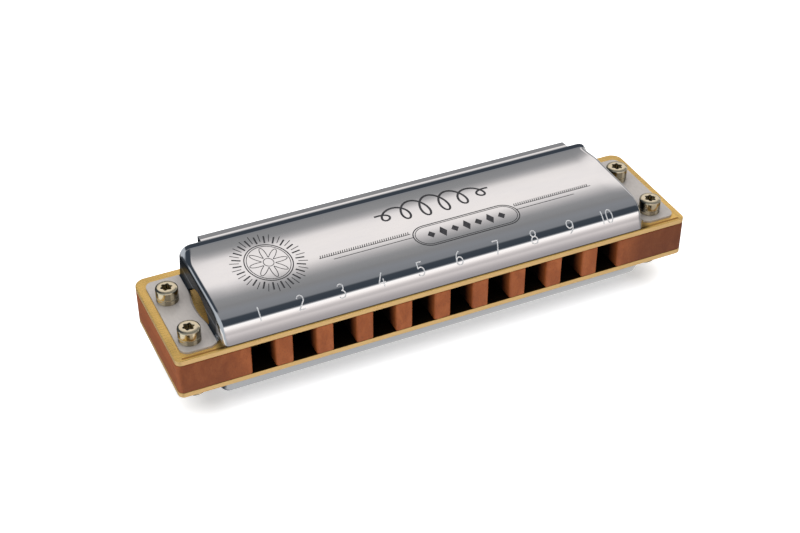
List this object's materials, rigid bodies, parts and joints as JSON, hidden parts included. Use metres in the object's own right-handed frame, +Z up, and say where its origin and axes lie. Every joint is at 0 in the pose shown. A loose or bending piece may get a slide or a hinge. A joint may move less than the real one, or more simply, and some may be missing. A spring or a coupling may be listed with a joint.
{
  "type": "diatonic harmonica",
  "caption": "Diatonic harmonica with a stained wooden comb, brass reed plates, free reeds and pressed steel covers held by cap screws.",
  "frame": {"origin": "centre of the bottom of the bounding box, under the middle of the lower cover", "axes": "+X along the length from hole 1 to hole 10, +Y from the player's side to the back, +Z up"},
  "size_m": [0.0992, 0.025, 0.0202],
  "materials": {
    "comb_wood": "stained, sealed, satin",
    "plate_brass": "lightly brushed",
    "reed_brass": "milled, satin",
    "rivet_brass": "smooth",
    "plate_screw_brass": "turned",
    "cover_steel": "polished dome, satin flanges",
    "screw_nickel": "warm nickel plate, turned"
  },
  "bodies": {
    "body": {"comb": "comb_wood", "upper_reed_plate": "plate_brass", "lower_reed_plate": "plate_brass", "upper_cover": "cover_steel", "lower_cover": "cover_steel", "blow_reed_roots": "reed_brass", "draw_reed_roots": "reed_brass", "blow_reed_rivets": "rivet_brass", "draw_reed_rivets": "rivet_brass", "reed_plate_screws": "plate_screw_brass", "cover_screws": "screw_nickel", "cover_nuts": "screw_nickel"},
    "blow_reed_1": {"blow_reed_1": "reed_brass"},
    "blow_reed_2": {"blow_reed_2": "reed_brass"},
    "blow_reed_3": {"blow_reed_3": "reed_brass"},
    "blow_reed_4": {"blow_reed_4": "reed_brass"},
    "blow_reed_5": {"blow_reed_5": "reed_brass"},
    "blow_reed_6": {"blow_reed_6": "reed_brass"},
    "blow_reed_7": {"blow_reed_7": "reed_brass"},
    "blow_reed_8": {"blow_reed_8": "reed_brass"},
    "blow_reed_9": {"blow_reed_9": "reed_brass"},
    "blow_reed_10": {"blow_reed_10": "reed_brass"},
    "draw_reed_1": {"draw_reed_1": "reed_brass"},
    "draw_reed_2": {"draw_reed_2": "reed_brass"},
    "draw_reed_3": {"draw_reed_3": "reed_brass"},
    "draw_reed_4": {"draw_reed_4": "reed_brass"},
    "draw_reed_5": {"draw_reed_5": "reed_brass"},
    "draw_reed_6": {"draw_reed_6": "reed_brass"},
    "draw_reed_7": {"draw_reed_7": "reed_brass"},
    "draw_reed_8": {"draw_reed_8": "reed_brass"},
    "draw_reed_9": {"draw_reed_9": "reed_brass"},
    "draw_reed_10": {"draw_reed_10": "reed_brass"}
  },
  "joints": [
    {"name": "blow_reed_1_flex", "type": "hinge", "parent": "body", "child": "blow_reed_1", "pos_m": [-0.03435, -0.0059, 0.01284], "axis": [1, 0, 0], "range_deg": [-4, 4], "stiffness_Nm_per_rad": 0.0866},
    {"name": "blow_reed_2_flex", "type": "hinge", "parent": "body", "child": "blow_reed_2", "pos_m": [-0.02685, -0.0059, 0.01284], "axis": [1, 0, 0], "range_deg": [-4, 4], "stiffness_Nm_per_rad": 0.0887},
    {"name": "blow_reed_3_flex", "type": "hinge", "parent": "body", "child": "blow_reed_3", "pos_m": [-0.01935, -0.0059, 0.01284], "axis": [1, 0, 0], "range_deg": [-4, 4], "stiffness_Nm_per_rad": 0.0909},
    {"name": "blow_reed_4_flex", "type": "hinge", "parent": "body", "child": "blow_reed_4", "pos_m": [-0.01185, -0.0059, 0.01284], "axis": [1, 0, 0], "range_deg": [-4, 4], "stiffness_Nm_per_rad": 0.0934},
    {"name": "blow_reed_5_flex", "type": "hinge", "parent": "body", "child": "blow_reed_5", "pos_m": [-0.00435, -0.0059, 0.01284], "axis": [1, 0, 0], "range_deg": [-4, 4], "stiffness_Nm_per_rad": 0.0961},
    {"name": "blow_reed_6_flex", "type": "hinge", "parent": "body", "child": "blow_reed_6", "pos_m": [0.00315, -0.0059, 0.01284], "axis": [1, 0, 0], "range_deg": [-4, 4], "stiffness_Nm_per_rad": 0.0992},
    {"name": "blow_reed_7_flex", "type": "hinge", "parent": "body", "child": "blow_reed_7", "pos_m": [0.01065, -0.0059, 0.01284], "axis": [1, 0, 0], "range_deg": [-4, 4], "stiffness_Nm_per_rad": 0.1025},
    {"name": "blow_reed_8_flex", "type": "hinge", "parent": "body", "child": "blow_reed_8", "pos_m": [0.01815, -0.0059, 0.01284], "axis": [1, 0, 0], "range_deg": [-4, 4], "stiffness_Nm_per_rad": 0.1062},
    {"name": "blow_reed_9_flex", "type": "hinge", "parent": "body", "child": "blow_reed_9", "pos_m": [0.02565, -0.0059, 0.01284], "axis": [1, 0, 0], "range_deg": [-4, 4], "stiffness_Nm_per_rad": 0.1104},
    {"name": "blow_reed_10_flex", "type": "hinge", "parent": "body", "child": "blow_reed_10", "pos_m": [0.03315, -0.0059, 0.01284], "axis": [1, 0, 0], "range_deg": [-4, 4], "stiffness_Nm_per_rad": 0.1152},
    {"name": "draw_reed_1_flex", "type": "hinge", "parent": "body", "child": "draw_reed_1", "pos_m": [-0.03435, -0.0059, 0.00594], "axis": [1, 0, 0], "range_deg": [-4, 4], "stiffness_Nm_per_rad": 0.0866},
    {"name": "draw_reed_2_flex", "type": "hinge", "parent": "body", "child": "draw_reed_2", "pos_m": [-0.02685, -0.0059, 0.00594], "axis": [1, 0, 0], "range_deg": [-4, 4], "stiffness_Nm_per_rad": 0.0887},
    {"name": "draw_reed_3_flex", "type": "hinge", "parent": "body", "child": "draw_reed_3", "pos_m": [-0.01935, -0.0059, 0.00594], "axis": [1, 0, 0], "range_deg": [-4, 4], "stiffness_Nm_per_rad": 0.0909},
    {"name": "draw_reed_4_flex", "type": "hinge", "parent": "body", "child": "draw_reed_4", "pos_m": [-0.01185, -0.0059, 0.00594], "axis": [1, 0, 0], "range_deg": [-4, 4], "stiffness_Nm_per_rad": 0.0934},
    {"name": "draw_reed_5_flex", "type": "hinge", "parent": "body", "child": "draw_reed_5", "pos_m": [-0.00435, -0.0059, 0.00594], "axis": [1, 0, 0], "range_deg": [-4, 4], "stiffness_Nm_per_rad": 0.0961},
    {"name": "draw_reed_6_flex", "type": "hinge", "parent": "body", "child": "draw_reed_6", "pos_m": [0.00315, -0.0059, 0.00594], "axis": [1, 0, 0], "range_deg": [-4, 4], "stiffness_Nm_per_rad": 0.0992},
    {"name": "draw_reed_7_flex", "type": "hinge", "parent": "body", "child": "draw_reed_7", "pos_m": [0.01065, -0.0059, 0.00594], "axis": [1, 0, 0], "range_deg": [-4, 4], "stiffness_Nm_per_rad": 0.1025},
    {"name": "draw_reed_8_flex", "type": "hinge", "parent": "body", "child": "draw_reed_8", "pos_m": [0.01815, -0.0059, 0.00594], "axis": [1, 0, 0], "range_deg": [-4, 4], "stiffness_Nm_per_rad": 0.1062},
    {"name": "draw_reed_9_flex", "type": "hinge", "parent": "body", "child": "draw_reed_9", "pos_m": [0.02565, -0.0059, 0.00594], "axis": [1, 0, 0], "range_deg": [-4, 4], "stiffness_Nm_per_rad": 0.1104},
    {"name": "draw_reed_10_flex", "type": "hinge", "parent": "body", "child": "draw_reed_10", "pos_m": [0.03315, -0.0059, 0.00594], "axis": [1, 0, 0], "range_deg": [-4, 4], "stiffness_Nm_per_rad": 0.1152}
  ]
}
